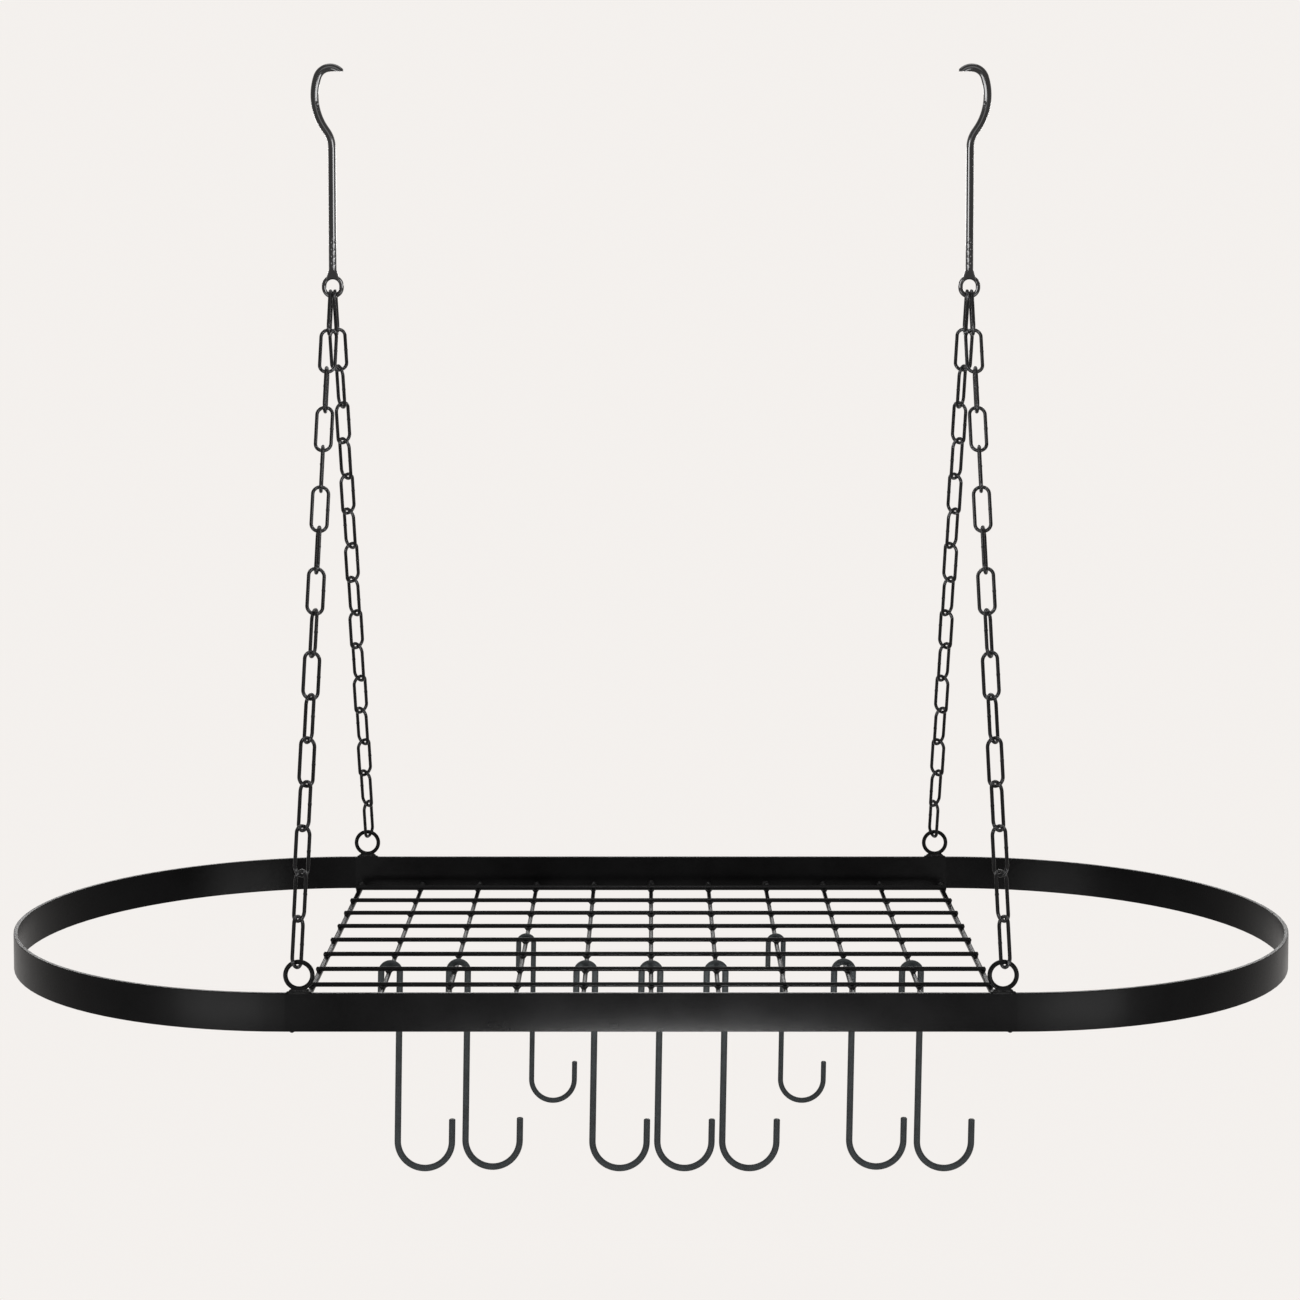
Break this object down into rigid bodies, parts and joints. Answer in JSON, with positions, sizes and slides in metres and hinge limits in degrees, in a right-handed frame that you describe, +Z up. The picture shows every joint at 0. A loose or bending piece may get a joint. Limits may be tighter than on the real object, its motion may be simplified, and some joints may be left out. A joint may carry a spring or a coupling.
{
  "type": "hanging pot rack",
  "caption": "Oval ceiling-hung pot rack: a flat steel band round a wire shelf, lifted by four chains from two ceiling hooks, with loose S hooks for pots.",
  "frame": {"origin": "midway between the two ceiling hooks, at the height where their crooks bear on the ceiling fittings", "axes": "+X to the right along the band's length, +Y to the back, +Z up"},
  "size_m": [0.9144, 0.4476, 0.7854],
  "materials": {
    "satin_black_steel": "satin black powder coat",
    "black_chain_steel": "satin black plated chain",
    "gloss_black_steel": "gloss black enamel",
    "charcoal_hook_steel": "matte charcoal powder coat"
  },
  "bodies": {
    "ceiling_hooks": {"ceiling_hook_left": "gloss_black_steel", "ceiling_hook_right": "gloss_black_steel"},
    "top_link_front_left": {"top_link_front_left": "black_chain_steel"},
    "top_link_front_right": {"top_link_front_right": "black_chain_steel"},
    "top_link_back_left": {"top_link_back_left": "black_chain_steel"},
    "top_link_back_right": {"top_link_back_right": "black_chain_steel"},
    "chain_front_left": {"chain_front_left": "black_chain_steel"},
    "chain_front_right": {"chain_front_right": "black_chain_steel"},
    "chain_back_left": {"chain_back_left": "black_chain_steel"},
    "chain_back_right": {"chain_back_right": "black_chain_steel"},
    "rack": {"oval_band": "satin_black_steel", "left_rail": "satin_black_steel", "right_rail": "satin_black_steel", "front_rail": "satin_black_steel", "back_rail": "satin_black_steel", "depth_wire_1": "satin_black_steel", "depth_wire_2": "satin_black_steel", "depth_wire_3": "satin_black_steel", "depth_wire_4": "satin_black_steel", "depth_wire_5": "satin_black_steel", "depth_wire_6": "satin_black_steel", "depth_wire_7": "satin_black_steel", "depth_wire_8": "satin_black_steel", "depth_wire_9": "satin_black_steel", "cross_wire_1": "satin_black_steel", "cross_wire_2": "satin_black_steel", "cross_wire_3": "satin_black_steel", "cross_wire_4": "satin_black_steel", "cross_wire_5": "satin_black_steel", "cross_wire_6": "satin_black_steel", "cross_wire_7": "satin_black_steel", "cross_wire_8": "satin_black_steel", "hanging_ring_front_left": "satin_black_steel", "hanging_ring_front_right": "satin_black_steel", "hanging_ring_back_left": "satin_black_steel", "hanging_ring_back_right": "satin_black_steel"},
    "pot_hook_1": {"pot_hook_1": "charcoal_hook_steel"},
    "pot_hook_2": {"pot_hook_2": "charcoal_hook_steel"},
    "pot_hook_3": {"pot_hook_3": "charcoal_hook_steel"},
    "pot_hook_4": {"pot_hook_4": "charcoal_hook_steel"},
    "pot_hook_5": {"pot_hook_5": "charcoal_hook_steel"},
    "pot_hook_6": {"pot_hook_6": "charcoal_hook_steel"},
    "pot_hook_7": {"pot_hook_7": "charcoal_hook_steel"},
    "pot_hook_8": {"pot_hook_8": "charcoal_hook_steel"},
    "pot_hook_9": {"pot_hook_9": "charcoal_hook_steel"}
  },
  "joints": [
    {"name": "fore_aft_swing_front_left", "type": "hinge", "parent": "ceiling_hooks", "child": "top_link_front_left", "pos_m": [-0.22945, 0, -0.15988], "axis": [1, 0, 0], "range_deg": [-15, 15]},
    {"name": "fore_aft_swing_front_right", "type": "hinge", "parent": "ceiling_hooks", "child": "top_link_front_right", "pos_m": [0.22945, 0, -0.15988], "axis": [1, 0, 0], "range_deg": [-15, 15]},
    {"name": "fore_aft_swing_back_left", "type": "hinge", "parent": "ceiling_hooks", "child": "top_link_back_left", "pos_m": [-0.22655, 0, -0.15988], "axis": [1, 0, 0], "range_deg": [-15, 15]},
    {"name": "fore_aft_swing_back_right", "type": "hinge", "parent": "ceiling_hooks", "child": "top_link_back_right", "pos_m": [0.22655, 0, -0.15988], "axis": [1, 0, 0], "range_deg": [-15, 15]},
    {"name": "side_sway_front_left", "type": "hinge", "parent": "top_link_front_left", "child": "chain_front_left", "pos_m": [-0.22945, -0.01354, -0.18654], "axis": [0, 1, 0], "range_deg": [-15, 15]},
    {"name": "side_sway_front_right", "type": "hinge", "parent": "top_link_front_right", "child": "chain_front_right", "pos_m": [0.22945, -0.01354, -0.18654], "axis": [0, 1, 0], "range_deg": [-15, 15]},
    {"name": "side_sway_back_left", "type": "hinge", "parent": "top_link_back_left", "child": "chain_back_left", "pos_m": [-0.22655, 0.01354, -0.18654], "axis": [0, 1, 0], "range_deg": [-15, 15]},
    {"name": "side_sway_back_right", "type": "hinge", "parent": "top_link_back_right", "child": "chain_back_right", "pos_m": [0.22655, 0.01354, -0.18654], "axis": [0, 1, 0], "range_deg": [-15, 15]},
    {"name": "rack_level", "type": "hinge", "parent": "chain_front_left", "child": "rack", "pos_m": [-0.22945, -0.2185, -0.59013], "axis": [0, 1, 0], "range_deg": [-15, 15]},
    {"name": "pot_hook_1_rock", "type": "hinge", "parent": "rack", "child": "pot_hook_1", "pos_m": [-0.18393, -0.056, -0.63041], "axis": [1, 0, 0], "range_deg": [-25, 25]},
    {"name": "pot_hook_2_rock", "type": "hinge", "parent": "rack", "child": "pot_hook_2", "pos_m": [-0.13591, -0.056, -0.62937], "axis": [1, 0, 0], "range_deg": [-25, 25]},
    {"name": "pot_hook_3_rock", "type": "hinge", "parent": "rack", "child": "pot_hook_3", "pos_m": [-0.09193, 0.03, -0.63081], "axis": [1, 0, 0], "range_deg": [-25, 25]},
    {"name": "pot_hook_4_rock", "type": "hinge", "parent": "rack", "child": "pot_hook_4", "pos_m": [-0.04593, -0.056, -0.63041], "axis": [1, 0, 0], "range_deg": [-25, 25]},
    {"name": "pot_hook_5_rock", "type": "hinge", "parent": "rack", "child": "pot_hook_5", "pos_m": [0.00007, -0.056, -0.63041], "axis": [1, 0, 0], "range_deg": [-25, 25]},
    {"name": "pot_hook_6_rock", "type": "hinge", "parent": "rack", "child": "pot_hook_6", "pos_m": [0.04607, -0.056, -0.63041], "axis": [1, 0, 0], "range_deg": [-25, 25]},
    {"name": "pot_hook_7_rock", "type": "hinge", "parent": "rack", "child": "pot_hook_7", "pos_m": [0.09207, 0.03, -0.63081], "axis": [1, 0, 0], "range_deg": [-25, 25]},
    {"name": "pot_hook_8_rock", "type": "hinge", "parent": "rack", "child": "pot_hook_8", "pos_m": [0.13609, -0.056, -0.6293], "axis": [1, 0, 0], "range_deg": [-25, 25]},
    {"name": "pot_hook_9_rock", "type": "hinge", "parent": "rack", "child": "pot_hook_9", "pos_m": [0.18407, -0.056, -0.63041], "axis": [1, 0, 0], "range_deg": [-25, 25]}
  ],
  "couplings": [
    {"joint": "fore_aft_swing_front_right", "follows": "fore_aft_swing_front_left", "ratio": 1},
    {"joint": "fore_aft_swing_back_left", "follows": "fore_aft_swing_front_left", "ratio": 1},
    {"joint": "fore_aft_swing_back_right", "follows": "fore_aft_swing_front_left", "ratio": 1},
    {"joint": "side_sway_front_right", "follows": "side_sway_front_left", "ratio": 1},
    {"joint": "side_sway_back_left", "follows": "side_sway_front_left", "ratio": 1},
    {"joint": "side_sway_back_right", "follows": "side_sway_front_left", "ratio": 1},
    {"joint": "rack_level", "follows": "side_sway_front_left", "ratio": -1}
  ]
}
